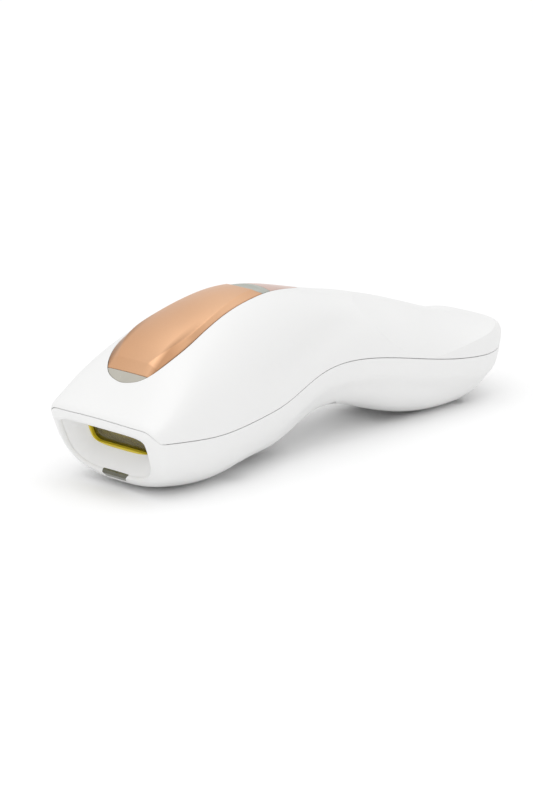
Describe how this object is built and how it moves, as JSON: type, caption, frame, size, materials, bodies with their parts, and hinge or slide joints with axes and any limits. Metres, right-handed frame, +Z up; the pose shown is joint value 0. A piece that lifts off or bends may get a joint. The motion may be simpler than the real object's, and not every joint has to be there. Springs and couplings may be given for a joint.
{
  "type": "ipl hair remover",
  "caption": "Hand-held light hair remover: a wide tilted nose with a recessed yellow window, a pressable satin plate on the arched head and a dished handle.",
  "frame": {"origin": "centre of the footprint, on the surface that the bellies of the nose and the handle rest on", "axes": "+X runs along the handle from the nose to the tail, +Y to the left side, +Z up"},
  "size_m": [0.1869, 0.0534, 0.0569],
  "materials": {
    "lower_shell": "gloss",
    "upper_shell": "gloss",
    "nose_insert": "satin translucent",
    "filter_glass": "clear yellow",
    "glass_gasket": "matte",
    "skin_sensor_window": "gloss",
    "sensor_board": "matte",
    "status_lens": "gloss",
    "status_board": "matte",
    "light_guide": "gloss",
    "treatment_button": "satin metallic",
    "pivot_pin": "satin",
    "button_tray": "satin",
    "button_saddle": "satin metallic",
    "mode_button": "satin metallic",
    "mode_spring": "matte",
    "front_switch": "matte",
    "front_plunger": "matte",
    "front_switch_board": "matte",
    "mode_switch": "matte",
    "mode_plunger": "matte",
    "mode_switch_board": "matte",
    "lamp_tube": "clear",
    "lamp_caps": "matte",
    "lamp_holders": "matte",
    "reflector": "polished",
    "reflector_cheeks": "polished",
    "lamp_carrier": "matte",
    "heat_sink": "satin",
    "fan_housing": "matte",
    "fan_shaft": "satin",
    "fan_rotor": "matte",
    "air_duct": "matte",
    "power_board": "matte",
    "trigger_transformer": "matte",
    "filter_choke": "satin",
    "flash_capacitor": "satin",
    "capacitor_clamps": "matte",
    "main_board": "matte",
    "board_parts": "matte",
    "power_socket": "matte",
    "socket_pin": "polished",
    "socket_board": "matte",
    "shell_screws": "satin"
  },
  "bodies": {
    "housing": {"lower_shell": "lower_shell", "upper_shell": "upper_shell", "nose_insert": "nose_insert", "filter_glass": "filter_glass", "glass_gasket": "glass_gasket", "skin_sensor_window": "skin_sensor_window", "sensor_board": "sensor_board", "status_lens": "status_lens", "status_board": "status_board", "light_guide": "light_guide", "pivot_pin": "pivot_pin", "button_tray": "button_tray", "button_saddle": "button_saddle", "mode_spring": "mode_spring", "front_switch": "front_switch", "front_switch_board": "front_switch_board", "mode_switch": "mode_switch", "mode_switch_board": "mode_switch_board", "lamp_tube": "lamp_tube", "lamp_caps": "lamp_caps", "lamp_holders": "lamp_holders", "reflector": "reflector", "reflector_cheeks": "reflector_cheeks", "lamp_carrier": "lamp_carrier", "heat_sink": "heat_sink", "fan_housing": "fan_housing", "fan_shaft": "fan_shaft", "air_duct": "air_duct", "power_board": "power_board", "trigger_transformer": "trigger_transformer", "filter_choke": "filter_choke", "flash_capacitor": "flash_capacitor", "capacitor_clamps": "capacitor_clamps", "main_board": "main_board", "board_parts": "board_parts", "power_socket": "power_socket", "socket_pin": "socket_pin", "socket_board": "socket_board", "shell_screws": "shell_screws"},
    "treatment_button": {"treatment_button": "treatment_button"},
    "mode_button": {"mode_button": "mode_button"},
    "front_plunger": {"front_plunger": "front_plunger"},
    "mode_plunger": {"mode_plunger": "mode_plunger"},
    "fan_rotor": {"fan_rotor": "fan_rotor"}
  },
  "joints": [
    {"name": "treatment_press", "type": "hinge", "parent": "housing", "child": "treatment_button", "pos_m": [-0.034, 0, 0.04989], "axis": [0, -1, 0], "range_deg": [0, 1.1], "stiffness_Nm_per_rad": 3, "springref_deg": -0.57},
    {"name": "mode_press", "type": "slide", "parent": "housing", "child": "mode_button", "axis": [0, 0, -1], "range_m": [0, 0.0005], "stiffness_N_per_m": 1200, "springref_m": -0.0004, "deforming": ["mode_spring"]},
    {"name": "front_plunger_slide", "type": "slide", "parent": "housing", "child": "front_plunger", "axis": [0, 0, -1], "range_m": [0, 0.00065]},
    {"name": "mode_plunger_slide", "type": "slide", "parent": "housing", "child": "mode_plunger", "axis": [0, 0, -1], "range_m": [0, 0.0005]},
    {"name": "fan_spin", "type": "hinge", "parent": "housing", "child": "fan_rotor", "pos_m": [-0.0425, 0, 0.028], "axis": [1, 0, 0], "continuous": true}
  ],
  "couplings": [
    {"joint": "front_plunger_slide", "follows": "treatment_press", "m_per_rad": 0.033},
    {"joint": "mode_plunger_slide", "follows": "mode_press", "ratio": 1}
  ]
}
